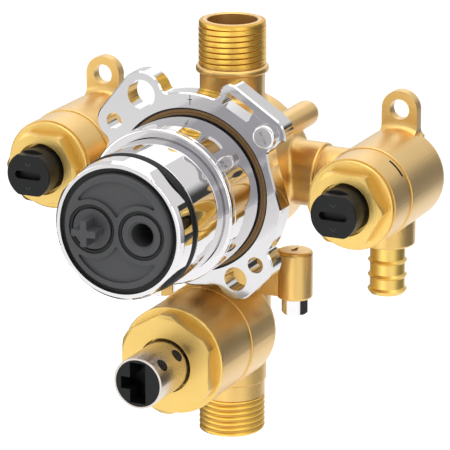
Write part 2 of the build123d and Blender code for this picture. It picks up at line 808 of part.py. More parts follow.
def diverter_insert():
    """Black socket pressed into the stem, with its stepped key recess."""
    front = diverter_stem_front_y + key_sink
    solid = rod_y(diverter_stem_bore_r - fit_gap, front, diverter_stem_bore_end_y, 0, diverter_z)
    key = Sketch()
    for x, z, width, height in (key_upright, key_arm):
        key += Pos(x, diverter_z + z) * Rectangle(width, height)
    return solid - slab(key, front - cut_over, front + key_depth)


def diverter_spool():
    solid = rod_y(spool_r, spool_front_y, spool_back_y, 0, diverter_z)
    half = tongue_t / 2 + tang_gap
    slot_end = spool_front_y + tongue_h
    reach = spool_r + cut_over
    low = diverter_z - reach
    solid -= box(-half, half, spool_front_y - cut_over, slot_end, low, diverter_z + reach)
    solid -= rod_z(spool_port_r, diverter_z - reach, diverter_z + reach, 0, pipe_y)
    return solid


def stop_lug():
    """Front view of a stop's screw lug, flared where it leaves the case; the case's axis is at 0, 0."""
    rise = lug_hole_z - stop_z
    lug = Pos(0, rise) * Circle(lug_r)
    lug += Pos(0, rise / 2) * Rectangle(2 * lug_r, rise)
    case_r = stop_r - fit_gap
    flared = offset(offset(lug + Circle(case_r), lug_blend), -lug_blend)
    root = (lug_r + lug_blend) * case_r / (case_r + lug_blend)
    reach = rise + lug_r + cut_over
    return flared & (Pos(0, reach / 2) * Rectangle(2 * root, reach))


def stop_body():
    x = stop_x
    z = stop_z
    case = [
        (0, stop_front_y), (stop_front_r, stop_front_y), (stop_front_r, stop_step_y),
        (stop_r, stop_step_y), (stop_r, stop_back_y), (0, stop_back_y),
    ]
    solid = turned_y(case, [(3, step_round), (4, stop_round)], x, z)
    solid += rod_x(stop_pipe_r, side_pipe_end_x, x, side_y, side_z)
    solid += rod_x(stop_socket_r, side_pipe_end_x - stop_socket_depth, x, side_y, side_z)
    boss = [(0, inlet_boss_z), (inlet_boss_r, inlet_boss_z), (inlet_boss_r, z), (0, z)]
    solid += turned_z(boss, [(1, cast_round)], x, inlet_y)
    solid += slab(Pos(x, z) * stop_lug(), lug_y, lug_y + lug_t)
    root_r = stop_r - fit_gap
    root = [
        (0, lug_y - 2 * lug_blend), (root_r, lug_y - 2 * lug_blend), (root_r, lug_y),
        (root_r + 2 * lug_blend, lug_y), (root_r + 2 * lug_blend, lug_y + lug_t / 2), (0, lug_y + lug_t / 2),
    ]
    swept = turned_y(root, [(2, lug_blend)], x, z)
    solid += swept & box(x - lug_r, x + lug_r, 0, stop_back_y, z + ball_r, lug_hole_z)
    solid -= rod_y(lug_hole_r, lug_y - cut_over, lug_y + lug_t + cut_over, x, lug_hole_z)
    chamber_r_here = ball_r + free_gap
    chamber_end = ball_y + ball_r + free_gap
    bore = [
        (0, stop_front_y - cut_over), (stop_bore_r, stop_front_y - cut_over),
        (stop_bore_r, stop_bore_end_y),
        (chamber_r_here, stop_bore_end_y), (chamber_r_here, chamber_end), (0, chamber_end),
    ]
    solid -= turned_y(bore, [(4, ball_room_round)], x, z)
    inner = side_pipe_end_x - stop_socket_depth - cut_over
    solid -= rod_x(side_waterway_r, inner, x, side_y, side_z)
    solid -= rod_x(seat_r + fit_gap, x, x - seat_end, ball_y, z)
    socket_top = inlet_boss_z + inlet_socket_depth
    inlet = [
        (0, inlet_boss_z - cut_over), (inlet_socket_r + fit_gap, inlet_boss_z - cut_over),
        (inlet_socket_r + fit_gap, socket_top), (inlet_bore_r, socket_top), (inlet_bore_r, z), (0, z),
    ]
    solid -= turned_z(inlet, (), x, inlet_y)
    first, last = stop_mark_angles
    half = stop_mark_w / 2
    floor_r = stop_front_r - stop_mark_depth
    mark_points = [
        (floor_r, stop_mark_y - half), (stop_front_r + cut_over, stop_mark_y - half),
        (stop_front_r + cut_over, stop_mark_y + half), (floor_r, stop_mark_y + half),
    ]
    mark = Rot(0, -first, 0) * revolve(outline(mark_points), -Axis.Y, last - first)
    return solid - Pos(x, 0, z) * mark


def inlet_barb():
    """Turned barb for crimped tube, brazed into the stop's lower boss."""
    top = inlet_boss_z + inlet_socket_depth
    points = [(inlet_bore_r, top), (inlet_socket_r, top), (inlet_socket_r, inlet_boss_z)]
    points += [(barb_r, inlet_boss_z)]
    for ridge in barb_ridges_z:
        half = barb_ridge_h / 2
        points += [(barb_r, ridge + half), (barb_ridge_r, ridge), (barb_r, ridge - half)]
    ridge_ease, end_ease = barb_end_ease
    points[-1] = (barb_ridge_r - ridge_ease, barb_ridges_z[-1] - barb_ridge_h / 4)
    points += [(barb_r - end_ease, barb_end_z), (inlet_bore_r, barb_end_z)]
    return turned_z(points, (), stop_x, inlet_y)


def stop_nut():
    x = stop_x
    z = stop_z
    flange_front = stop_front_y - stop_flange_t
    solid = hexagon(stop_nut_flats, stop_nut_corner_r, stop_nut_face_y, flange_front, 0, x, z)
    spigot = stop_bore_r - fit_gap
    flange = [
        (0, flange_front), (stop_flange_r, flange_front), (stop_flange_r, stop_front_y),
        (spigot, stop_front_y), (spigot, stop_nut_end_y), (0, stop_nut_end_y),
    ]
    solid += turned_y(flange, [(1, flange_round)], x, z)
    solid -= rod_y(stop_opening_r, stop_nut_face_y - cut_over, stop_opening_end_y, x, z)
    journal = stop_journal_r + running_gap
    solid -= rod_y(journal, stop_opening_end_y - cut_over, stop_nut_end_y + cut_over, x, z)
    return solid


def stop_ring_y():
    return (stop_opening_end_y + stop_nut_end_y) / 2


def stop_stem():
    x = stop_x
    z = stop_z
    head_end = stop_opening_end_y - free_gap
    collar_front = stop_nut_end_y + free_gap
    collar_back = collar_front + stop_collar_t
    front = stop_stem_front_y
    points = [
        (0, front), (stop_stem_r, front), (stop_stem_r, head_end), (stop_journal_r, head_end),
        (stop_journal_r, collar_front), (stop_collar_r, collar_front),
        (stop_collar_r, collar_back), (0, collar_back),
    ]
    solid = turned_y(points, [(1, stop_stem_round)], x, z)
    half = stop_tang_t / 2
    reach = stop_tang / 2
    solid += box(x - reach, x + reach, collar_back - cut_over, stop_tang_end_y, z - half, z + half)
    wide = stop_stem_r + cut_over
    flat_end = front + stop_stem_flat_length
    for way in (1, -1):
        low, high = sorted((z + way * stop_stem_flat, z + way * wide))
        solid -= box(x - wide, x + wide, front - cut_over, flat_end, low, high)
    slot = Pos(x, z) * SlotOverall(*stop_slot)
    solid -= slab(slot, front - cut_over, front + stop_slot_depth)
    solid -= stem_groove(stop_journal_r, stop_ring_y(), x, z)
    return solid


def stop_ball():
    """Ball with an angled port: down to the inlet and across to the body."""
    x = stop_x
    z = stop_z
    solid = Pos(x, ball_y, z) * Sphere(ball_r)
    solid -= rod_z(ball_port_r, z - ball_r - cut_over, z, x, ball_y)
    solid -= rod_x(ball_port_r, x, x - ball_r - cut_over, ball_y, z)
    solid -= Pos(x, ball_y, z) * Sphere(ball_port_r)
    half = stop_tang_t / 2 + tang_gap
    slot_end = stop_tang_end_y + tang_end_gap
    slot_front = ball_y - ball_r - cut_over
    solid -= box(x - ball_r, x + ball_r, slot_front, slot_end, z - half, z + half)
    return solid


def stop_seat():
    """White seat ring with a hollow face that fits the ball."""
    x = stop_x
    start = x - seat_start
    end = x - seat_end
    ring = rod_x(seat_r, start, end, ball_y, stop_z)
    ring -= rod_x(seat_bore_r, start + cut_over, end - cut_over, ball_y, stop_z)
    return ring - Pos(x, ball_y, stop_z) * Sphere(ball_r + seat_gap)


def all_pieces():
    pieces = {
        "valve_body": valve_body(),
        "mounting_plate": mounting_plate(),
        "upper_plate_screw": plate_screw(1),
        "lower_plate_screw": plate_screw(-1),
        "cartridge_sleeve": cartridge_sleeve(),
        "bonnet_gasket": bonnet_gasket(),
        "bonnet_nut": bonnet_nut(),
        "flush_plug": flush_plug(),
        "plug_cap": plug_cap(),
        "plug_seal": plug_seal(),
        "plug_port_seals": plug_port_seals(),
        "diverter_nut": diverter_nut(),
        "diverter_stem": diverter_stem(),
        "diverter_insert": diverter_insert(),
        "diverter_spool": diverter_spool(),
        "diverter_oring": stem_ring(diverter_stem_r, diverter_ring_y(), 0, diverter_z),
    }
    right = {
        "stop_body": stop_body(),
        "inlet_barb": inlet_barb(),
        "stop_nut": stop_nut(),
        "stop_stem": stop_stem(),
        "stop_oring": stem_ring(stop_journal_r, stop_ring_y(), stop_x, stop_z),
        "stop_ball": stop_ball(),
        "stop_seat": stop_seat(),
        "side_plug": side_plug(),
        "side_plug_seal": side_plug_seal(),
    }
    for name, piece in right.items():
        pieces["right_" + name] = piece
        pieces["left_" + name] = mirror(piece, Plane.YZ)
    return pieces


os.makedirs("parts", exist_ok=True)
for node, piece in all_pieces().items():
    export_step(piece, f"parts/{node}.step")
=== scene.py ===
import bmesh
import bpy
from math import cos, pi, radians, sin
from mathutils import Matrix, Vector


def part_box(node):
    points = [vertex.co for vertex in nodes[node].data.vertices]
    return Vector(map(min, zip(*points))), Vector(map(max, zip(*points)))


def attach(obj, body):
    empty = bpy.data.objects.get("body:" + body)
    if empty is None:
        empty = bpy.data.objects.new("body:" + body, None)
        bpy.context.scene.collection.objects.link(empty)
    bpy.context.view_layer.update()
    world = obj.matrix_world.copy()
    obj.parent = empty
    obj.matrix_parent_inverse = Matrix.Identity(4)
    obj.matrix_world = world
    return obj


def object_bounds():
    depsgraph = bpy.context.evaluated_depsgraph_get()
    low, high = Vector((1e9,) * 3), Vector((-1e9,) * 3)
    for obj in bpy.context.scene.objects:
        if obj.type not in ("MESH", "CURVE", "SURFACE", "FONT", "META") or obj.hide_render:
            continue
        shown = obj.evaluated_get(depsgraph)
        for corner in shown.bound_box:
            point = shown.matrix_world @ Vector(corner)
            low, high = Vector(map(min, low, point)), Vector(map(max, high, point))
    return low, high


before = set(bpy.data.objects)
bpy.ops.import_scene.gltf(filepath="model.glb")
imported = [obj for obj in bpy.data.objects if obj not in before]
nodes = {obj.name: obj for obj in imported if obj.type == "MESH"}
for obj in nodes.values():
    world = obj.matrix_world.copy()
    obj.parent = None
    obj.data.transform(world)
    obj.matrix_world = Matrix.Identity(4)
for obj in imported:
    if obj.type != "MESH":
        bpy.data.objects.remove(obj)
cad_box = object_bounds()


# Viewpoint
# The valve stands free before the camera, seen from the right and from a little above with
# a long lens, as the photograph shows it.
view_turn = radians(25.43)
view_rise = radians(16.95)
view_distance = 1.0
view_target = Vector((0.01193, 0.0, -0.00983))
sensor_width = 36
focal_length = 258.78
near_clip = 0.05
far_clip = 20
toward_camera = Vector((
    sin(view_turn) * cos(view_rise),
    -cos(view_turn) * cos(view_rise),
    sin(view_rise),
))
camera_data = bpy.data.cameras.new("camera")
camera_data.sensor_width = sensor_width
camera_data.lens = focal_length
camera_data.clip_start = near_clip
camera_data.clip_end = far_clip
camera = bpy.data.objects.new("camera", camera_data)
bpy.context.scene.collection.objects.link(camera)
camera.location = view_target + toward_camera * view_distance
camera.rotation_euler = (view_target - camera.location).to_track_quat("-Z", "Y").to_euler()
bpy.context.scene.camera = camera
bpy.context.scene.view_settings.view_transform = "Standard"


# Studio
# A white floor well below the valve, a white surround, and soft boxes above and on all sides.
# Cards that show only in reflections stand round the valve, under it and behind the camera, and
# give the bright metal its darker sides.
floor_drop = 0.30
floor_half = 3.0
floor_colour = (0.95, 0.95, 0.95)
floor_roughness = 0.8
floor_lift = 0.45
surround_fill = 0.55
mirrored_share = 0.75
card_roughness = 0.9
card_grey = (0.70, 0.705, 0.74)
soft_boxes = (
    ("top_box", (0.10, -0.10, 1.10), 1.5, 1.5, 8.5),
    ("back_box", (-0.45, 1.10, 0.75), 1.0, 0.6, 1.2),
    ("left_box", (-1.10, -0.70, 0.35), 0.8, 0.9, 2.3),
    ("right_box", (1.00, -0.80, 0.30), 0.35, 0.9, 1.3),
    ("front_box", (-0.05, -1.35, -0.12), 0.7, 0.4, 1.6),
)
cards = (
    ("right_card", (0.75, 0.40, -0.10), (0.75, 0.50), 0.20, (0.04, 0.04, 0.04), (-0.75, -0.40, 0)),
    ("left_card", (-0.85, 0.20, -0.08), (0.60, 0.30), 0.10, (0.08, 0.08, 0.08), (0.85, -0.20, 0)),
    ("floor_card", (-0.48, 0.18, -0.384), (0.34, 0.42), 0.10, (0.03, 0.03, 0.03), (0, 0, 1)),
    ("back_card", (-0.42, 0.88, -0.20), (0.42, 0.18), 0.10, (0.10, 0.10, 0.10), (0.42, -0.88, 0)),
    ("upper_card", (0.225, -1.25, 0.62), (0.725, 0.46), 0.16, card_grey, (0, 1, 0)),
    ("front_card", (0.72, -1.25, -0.10), (0.52, 0.34), 0.16, card_grey, (0, 1, 0)),
)


class Wire:
    """A shader socket with arithmetic."""

    def __init__(self, tree, socket):
        self.tree = tree
        self.socket = socket

    def maths(self, operation, other=None, swap=False):
        node = self.tree.nodes.new("ShaderNodeMath")
        node.operation = operation
        pair = [self, other]
        if swap:
            pair.reverse()
        for number, value in enumerate(pair):
            if isinstance(value, Wire):
                self.tree.links.new(value.socket, node.inputs[number])
            elif value is not None:
                node.inputs[number].default_value = value
        return Wire(self.tree, node.outputs[0])

    def __add__(self, other):
        return self.maths("ADD", other)

    __radd__ = __add__

    def __mul__(self, other):
        return self.maths("MULTIPLY", other)

    __rmul__ = __mul__

    def __sub__(self, other):
        return self.maths("SUBTRACT", other)

    def __rsub__(self, other):
        return self.maths("SUBTRACT", other, swap=True)

    def __pow__(self, other):
        return self.maths("POWER", other)

    def __abs__(self):
        return self.maths("ABSOLUTE")

    def __gt__(self, other):
        return self.maths("GREATER_THAN", other)

    def __lt__(self, other):
        return self.maths("LESS_THAN", other)

    def node(self, kind, settings=None, **inputs):
        """Adds any other node; its inputs are given by name, with _ for a space."""
        node = self.tree.nodes.new(kind)
        for name, value in (settings or {}).items():
            setattr(node, name, value)
        for name, value in inputs.items():
            name = name.replace("_", " ")
            socket = next(entry for entry in node.inputs if entry.name == name and entry.enabled)
            if isinstance(value, Wire):
                self.tree.links.new(value.socket, socket)
            else:
                socket.default_value = value
        return Wire(self.tree, next(entry for entry in node.outputs if entry.enabled))

    def parts(self):
        """The three numbers of a vector."""
        node = self.tree.nodes.new("ShaderNodeSeparateXYZ")
        self.tree.links.new(self.socket, node.inputs[0])
        return [Wire(self.tree, socket) for socket in node.outputs]


def seen_directly(tree):
    """1 for what the camera sees itself, mirrored_share for what metal mirrors, otherwise 0."""
    path = tree.nodes.new("ShaderNodeLightPath")
    seen = Wire(tree, path.outputs["Is Camera Ray"])
    return seen.maths("MAXIMUM", Wire(tree, path.outputs["Is Glossy Ray"]) * mirrored_share)


def plain_surface(name, colour, roughness):
    """A studio surface of one colour; returns it and its shader."""
    material = bpy.data.materials.new(name)
    material.use_nodes = True
    shader = material.node_tree.nodes["Principled BSDF"]
    shader.inputs["Base Color"].default_value = (*colour, 1)
    shader.inputs["Roughness"].default_value = roughness
    return material, shader


def stage_sheet(name, half_width, half_height, material):
    """A flat sheet of the studio, made lying down round the origin."""
    mesh = bpy.data.meshes.new(name)
    shape = bmesh.new()
    bmesh.ops.create_grid(shape, x_segments=1, y_segments=1, size=1)
    bmesh.ops.scale(shape, verts=shape.verts, vec=(half_width, half_height, 1))
    shape.to_mesh(mesh)
    shape.free()
    mesh.materials.append(material)
    sheet = bpy.data.objects.new(name, mesh)
    bpy.context.scene.collection.objects.link(sheet)
    return sheet


floor_white, shader = plain_surface("floor_white", floor_colour, floor_roughness)
shader.inputs["Emission Strength"].default_value = floor_lift
tree = floor_white.node_tree
tree.links.new(seen_directly(tree).socket, shader.inputs["Emission Color"])
floor = stage_sheet("floor", floor_half, floor_half, floor_white)
floor.location = (0, 0, cad_box[0][2] - floor_drop)

for name, place, halves, soft, colour, facing in cards:
    grey, shader = plain_surface(name, colour, card_roughness)
    tree = grey.node_tree
    across = Wire(tree, tree.nodes.new("ShaderNodeTexCoord").outputs["Object"]).parts()
    cover = 1.0
    for distance, half in zip(across, halves):
        edge = distance.node(
            "ShaderNodeMapRange", {"interpolation_type": "SMOOTHSTEP"}, Value=abs(distance),
            From_Min=half - soft, From_Max=half, To_Min=1.0, To_Max=0.0,
        )
        cover = edge * cover
    tree.links.new(cover.socket, shader.inputs["Alpha"])
    card = stage_sheet(name, *halves, grey)
    card.location = place
    card.rotation_euler = Vector(facing).to_track_quat("Z", "Y").to_euler()
    card.visible_camera = False
    card.visible_diffuse = False
    card.visible_shadow = False

for name, place, width, height, power in soft_boxes:
    lamp_data = bpy.data.lights.new(name, "AREA")
    lamp_data.shape = "RECTANGLE"
    lamp_data.size = width
    lamp_data.size_y = height
    lamp_data.energy = power
    lamp = bpy.data.objects.new(name, lamp_data)
    bpy.context.scene.collection.objects.link(lamp)
    lamp.location = place
    lamp.rotation_euler = (-Vector(place)).to_track_quat("-Z", "Y").to_euler()

world = bpy.data.worlds.new("surround")
bpy.context.scene.world = world
world.use_nodes = True
background = world.node_tree.nodes["Background"]
background.inputs["Color"].default_value = (1, 1, 1, 1)
strength = seen_directly(world.node_tree) * (1 - surround_fill) + surround_fill
world.node_tree.links.new(strength.socket, background.inputs["Strength"])


# Cast brass
# The body and both stops are sand-cast brass, blasted to an even satin skin with a very fine
# grain and darker patches. The drum's front round the sleeve, behind the mounting plate, is
# painted dark brown as painted shade, and the stops' open marks are painted black.
cast_colour = (0.79, 0.505, 0.115)
cast_dark = (0.69, 0.415, 0.083)
cast_roughness = 0.36
cast_sheen = (0.9, 0.45, 1.9)
cast_grain = 1300
cast_grain_depth = 0.00008
cast_patches = 45
patch_detail = 4
patch_spread = 0.10
grain_spread = 0.08
drum_shade_colour = (0.16, 0.085, 0.025)
drum_shade_front = 0.0060
drum_shade_back = 0.0068
drum_shade_r = 0.0272
drum_shade_roughness = 0.2
stop_x = 0.0522
stop_z = 0.0005
mark_y = 0.0157
mark_half = 0.00062
mark_inner = 0.0137
mark_outer = 0.01442
mark_black = (0.01, 0.01, 0.01)
mark_black_roughness = 0.4


def finish(name, colour, roughness, metallic=1.0, coat=(0.0, 0.3, 1.5), specular=0.5):
    """A new material with its constants on the shader; coat is weight, roughness and IOR.

    Returns the material, its shader and the object coordinates.
    """
    material = bpy.data.materials.new(name)
    material.use_nodes = True
    tree = material.node_tree
    shader = tree.nodes["Principled BSDF"]
    shader.inputs["Base Color"].default_value = (*colour, 1)
    shader.inputs["Roughness"].default_value = roughness
    shader.inputs["Metallic"].default_value = metallic
    shader.inputs["Specular IOR Level"].default_value = specular
    shader.inputs["Coat Weight"].default_value = coat[0]
    shader.inputs["Coat Roughness"].default_value = coat[1]
    shader.inputs["Coat IOR"].default_value = coat[2]
    place = Wire(tree, tree.nodes.new("ShaderNodeTexCoord").outputs["Object"])
    return material, shader, place


def feed(shader, name, wire):
    """Links a wire to one of the shader's sockets."""
    wire.tree.links.new(wire.socket, shader.inputs[name])


def noise(place, scale, detail=3):
    """Soft noise from 0 to 1."""
    return place.node("ShaderNodeTexNoise", Vector=place, Scale=scale, Detail=detail)


def bump(height, depth):
    """A normal from a height that runs from 0 to 1, with its depth in metres."""
    return height.node("ShaderNodeBump", Height=height, Distance=depth, Strength=1.0)


def blend(factor, first, second):
    """A colour between two; each is a wire or three numbers."""
    pair = [colour if isinstance(colour, Wire) else (*colour, 1) for colour in (first, second)]
    return factor.node(
        "ShaderNodeMix", {"data_type": "RGBA"}, Factor=factor, A=pair[0], B=pair[1]
    )


def span(across, up):
    """The distance from an axis, from the two distances at right angles."""
    return (across * across + up * up) ** 0.5


def cast_skin(shader, place, cover, cover_colour, cover_roughness):
    """Satin cast brass; where cover is 1, it has another colour and a rougher skin."""
    patches = noise(place, cast_patches, patch_detail)
    skin = noise(place, cast_grain)
    metal = blend(patches, cast_dark, cast_colour)
    feed(shader, "Base Color", blend(cover, metal, cover_colour))
    lowest = cast_roughness - (patch_spread + grain_spread) / 2
    uneven = patches * patch_spread + skin * grain_spread
    feed(shader, "Roughness", uneven + cover * cover_roughness + lowest)
    feed(shader, "Coat Weight", (1 - cover) * cast_sheen[0])
    feed(shader, "Normal", bump(skin, cast_grain_depth))


def dress(material, *names):
    """Gives CAD nodes a material."""
    for name in names:
        mesh = nodes[name].data
        mesh.materials.clear()
        mesh.materials.append(material)


cast_brass, shader, place = finish("cast_brass", cast_colour, cast_roughness, coat=cast_sheen)
x, y, z = place.parts()
# Painted shade: the drum's front round the sleeve, behind the plate, is painted dark brown.
drum_shaded = (y > drum_shade_front) * (y < drum_shade_back) * (span(x, z) < drum_shade_r)
cast_skin(shader, place, drum_shaded, drum_shade_colour, drum_shade_roughness)
dress(cast_brass, "valve_body")

stop_brass, shader, place = finish("stop_brass", cast_colour, cast_roughness, coat=cast_sheen)
x, y, z = place.parts()
from_axis = span(abs(x) - stop_x, z - stop_z)
# The narrow groove of each stop's open mark is painted black and not metallic.
black_mark = (abs(y - mark_y) < mark_half) * (from_axis > mark_inner) * (from_axis < mark_outer)
cast_skin(shader, place, black_mark, mark_black, mark_black_roughness)
feed(shader, "Metallic", 1 - black_mark)
dress(stop_brass, "left_stop_body", "right_stop_body")


# Turned brass
# The stop nuts, the diverter nut and the spool are turned from bar and blasted. The barbs keep
# the faint rings that the tool left.
turned_colour = (0.82, 0.565, 0.145)
turned_dark = (0.75, 0.49, 0.115)
turned_patches = 90
turned_grain = 1700
tool_line_rate = 11000
tool_line_height = 0.12
tool_line_spread = 0.02
barb_low_roughness = 0.33
barb_depth = 0.000012


def grained(shader, place, scale, low, spread, depth):
    """A fine grain: roughness from low to low + spread, and bumps of the given depth."""
    skin = noise(place, scale)
    feed(shader, "Roughness", skin * spread + low)
    feed(shader, "Normal", bump(skin, depth))


turned_brass, shader, place = finish("turned_brass", turned_colour, 0.34, coat=(0.6, 0.40, 1.8))
patches = noise(place, turned_patches, patch_detail)
feed(shader, "Base Color", blend(patches, turned_dark, turned_colour))
grained(shader, place, scale=turned_grain, low=0.27, spread=0.14, depth=0.00006)
dress(turned_brass, "left_stop_nut", "right_stop_nut", "diverter_nut", "diverter_spool")

barb_brass, shader, place = finish("barb_brass", turned_colour, 0.28, coat=(0.3, 0.3, 1.6))
x, y, z = place.parts()
tool_lines = (z * tool_line_rate).maths("SINE")
skin = noise(place, turned_grain)
uneven = tool_lines * tool_line_spread + skin * grain_spread
feed(shader, "Roughness", uneven + barb_low_roughness)
feed(shader, "Normal", bump(tool_lines * tool_line_height + skin, barb_depth))
dress(barb_brass, "left_inlet_barb", "right_inlet_barb")


# Mounting plate
# Pressed plate with a soft chrome face. A short upright line with a tick across it is scribed
# into its top as the centre mark.
plate_colour = (0.67, 0.66, 0.668)
plate_face_y = 0.0001
scribe_low = 0.0272
scribe_high = 0.0305
scribe_half = 0.00013
tick_z = 0.0289
tick_half = 0.0007
scribe_colour = (0.03, 0.03, 0.03)
scribe_roughness = 0.4
plate_low_roughness = 0.07
plate_haze = 0.04
haze_scale = 60

plate_chrome, shader, place = finish("plate_chrome", plate_colour, 0.10)
x, y, z = place.parts()
line = (abs(x) < scribe_half) * (z > scribe_low) * (z < scribe_high)
tick = (abs(x) < tick_half) * (abs(z - tick_z) < scribe_half)
scribed = line.maths("MAXIMUM", tick) * (y < plate_face_y)
haze = noise(place, haze_scale) * plate_haze
feed(shader, "Base Color", blend(scribed, plate_colour, scribe_colour))
feed(shader, "Roughness", haze + scribed * scribe_roughness + plate_low_roughness)
dress(plate_chrome, "mounting_plate")


# Bright chrome
# The sleeve, the bonnet nut, the stop balls and the small hexagon plugs are mirror bright.
# A thin band of the bonnet nut behind its flats is painted black and not metallic.
chrome_colour = (0.73, 0.715, 0.722)
chrome_roughness = 0.035
chrome_haze = 0.03
groove_front = -0.04242
groove_back = -0.04192
groove_colour = (0.005, 0.005, 0.006)
groove_roughness = 0.4

chrome, shader, place = finish("chrome", chrome_colour, chrome_roughness)
haze = noise(place, haze_scale) * chrome_haze
feed(shader, "Roughness", haze + (chrome_roughness - chrome_haze / 2))
dress(
    chrome, "cartridge_sleeve", "left_stop_ball", "right_stop_ball", "left_side_plug",
    "right_side_plug",
)

nut_chrome, shader, place = finish("nut_chrome", chrome_colour, chrome_roughness)
x, y, z = place.parts()
# A thin band near the nut's back is painted black and not metallic.
groove = (y > groove_front) * (y < groove_back)
haze = noise(place, haze_scale) * chrome_haze
feed(shader, "Base Color", blend(groove, chrome_colour, groove_colour))
feed(shader, "Metallic", 1 - groove)
feed(shader, "Roughness", haze + groove * groove_roughness + (chrome_roughness - chrome_haze / 2))
dress(nut_chrome, "bonnet_nut")


# Screws and diverter stem
# Zinc plated steel screws and the satin nickel stem of the diverter: bright metal with a soft
# turned skin.
zinc_colour = (0.74, 0.72, 0.71)
nickel_colour = (0.66, 0.60, 0.545)
fine_depth = 0.00002

zinc, shader, place = finish("zinc", zinc_colour, 0.24)
grained(shader, place, scale=500, low=0.18, spread=0.12, depth=fine_depth)
dress(zinc, "upper_plate_screw", "lower_plate_screw")

nickel, shader, place = finish("nickel", nickel_colour, 0.26)
grained(shader, place, scale=900, low=0.21, spread=0.10, depth=fine_depth)
dress(nickel, "diverter_stem")


# Dark grey plug
# The flush plug and its cap are moulded in dark grey glass-filled plastic with a dull skin.
plug_colour = (0.068, 0.069, 0.072)
plug_dark = (0.063, 0.064, 0.067)
plug_pale = (0.073, 0.074, 0.077)
plug_patches = 120

grey_plastic, shader, place = finish(
    "grey_plastic", plug_colour, 0.50, metallic=0.0, specular=0.35
)
patches = noise(place, plug_patches, patch_detail)
feed(shader, "Base Color", blend(patches, plug_dark, plug_pale))
grained(shader, place, scale=1800, low=0.42, spread=0.16, depth=0.00004)
dress(grey_plastic, "flush_plug", "plug_cap")


# Black stems and key socket
# Stems and the diverter's socket are moulded in black acetal. Two small hooks are moulded into
# each stop's face, above and below its slot.
acetal_colour = (0.007, 0.0075, 0.008)
acetal_roughness = 0.36
acetal_specular = 0.25
acetal_skin = {"scale": 1500, "low": 0.30, "spread": 0.14, "depth": fine_depth}
hook_back_y = -0.00905
hook_rise = 0.0038
hook_inner = 0.00055
hook_outer = 0.00085
hook_open_above = 0.0002
hook_colour = (0.035, 0.037, 0.04)

black_plastic, shader, place = finish(
    "black_plastic", acetal_colour, acetal_roughness, metallic=0.0, specular=acetal_specular
)
grained(shader, place, **acetal_skin)
dress(black_plastic, "diverter_insert")

stem_plastic, shader, place = finish(
    "stem_plastic", acetal_colour, acetal_roughness, metallic=0.0, specular=acetal_specular
)
x, y, z = place.parts()
up = abs(z - stop_z) - hook_rise
from_hook = span(abs(x) - stop_x, up)
curve = (from_hook > hook_inner) * (from_hook < hook_outer)
lower_half = (z - stop_z).maths("SIGN") * up < hook_open_above
hook = curve * lower_half * (y < hook_back_y)
feed(shader, "Base Color", blend(hook, acetal_colour, hook_colour))
grained(shader, place, **acetal_skin)
dress(stem_plastic, "left_stop_stem", "right_stop_stem")


# Rubber rings
# The gasket behind the bonnet nut and every seal are black nitrile rubber, moulded with a
# dull skin.
rubber_colour = (0.005, 0.0055, 0.006)

rubber, shader, place = finish("rubber", rubber_colour, 0.36, metallic=0.0, specular=0.3)
grained(shader, place, scale=1200, low=0.28, spread=0.16, depth=fine_depth)
dress(
    rubber, "bonnet_gasket", "plug_seal", "plug_port_seals", "diverter_oring", "left_stop_oring",
    "right_stop_oring", "left_side_plug_seal", "right_side_plug_seal",
)


# Seat rings
# Each stop's ball turns against a ring of white seat plastic, pressed into the body beside
# the ball.
seat_colour = (0.78, 0.78, 0.76)

seat_white, shader, place = finish("seat_white", seat_colour, 0.5, metallic=0.0)
grained(shader, place, scale=900, low=0.45, spread=0.1, depth=fine_depth)
dress(seat_white, "left_stop_seat", "right_stop_seat")


# Gap ring of painted reflection and shadow
# A ring in the gap between the mounting plate's hole and the sleeve, just behind the plate's
# front, is painted brown as a painted reflection of the brass, with a black outer edge as painted
# shadow.
gap_ring_inner = 0.02465
gap_ring_outer = 0.02615
gap_ring_front = 0.0007
gap_ring_back = 0.0062
gap_ring_shadow_width = 0.00065
gap_ring_grain = 700
gap_ring_spread = 0.2
gap_ring_low_roughness = 0.35
gap_ring_steps = 128
painted_reflection_colour = (0.23, 0.13, 0.045)
painted_shadow_colour = (0.008, 0.007, 0.006)
merge_distance = 1e-7
sharp_angle = radians(35)


def finished_piece(name, shape, material):
    """Makes a closed bmesh an object of its own, smooth but for its sharp edges."""
    bmesh.ops.recalc_face_normals(shape, faces=shape.faces)
    mesh = bpy.data.meshes.new(name)
    shape.to_mesh(mesh)
    shape.free()
    mesh.shade_smooth()
    mesh.set_sharp_from_angle(angle=sharp_angle)
    mesh.materials.append(material)
    piece = bpy.data.objects.new(name, mesh)
    bpy.context.scene.collection.objects.link(piece)
    return piece


# Painted reflection: the ring is brown and partly metallic; its outer edge is black as painted
# shadow.
gap_reflection_and_shade, shader, place = finish("gap_reflection_and_shade", painted_reflection_colour, 0.45, metallic=0.4)
x, y, z = place.parts()
edge = span(x, z) > gap_ring_outer - gap_ring_shadow_width
feed(shader, "Base Color", blend(edge, painted_reflection_colour, painted_shadow_colour))
skin = noise(place, gap_ring_grain)
feed(shader, "Roughness", skin * gap_ring_spread + gap_ring_low_roughness)

shape = bmesh.new()
ring = [shape.verts.new((radius, y, 0)) for radius, y in (
    (gap_ring_inner, gap_ring_front), (gap_ring_outer, gap_ring_front),
    (gap_ring_outer, gap_ring_back), (gap_ring_inner, gap_ring_back),
)]
edges = [shape.edges.new((first, second)) for first, second in zip(ring, ring[1:] + ring[:1])]
bmesh.ops.spin(
    shape, geom=ring + edges, cent=(0, 0, 0), axis=(0, 1, 0), angle=2 * pi, steps=gap_ring_steps,
    use_merge=True,
)
bmesh.ops.remove_doubles(shape, verts=shape.verts, dist=merge_distance)
piece = finished_piece("painted_gap_ring", shape, gap_reflection_and_shade)
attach(piece, "valve")


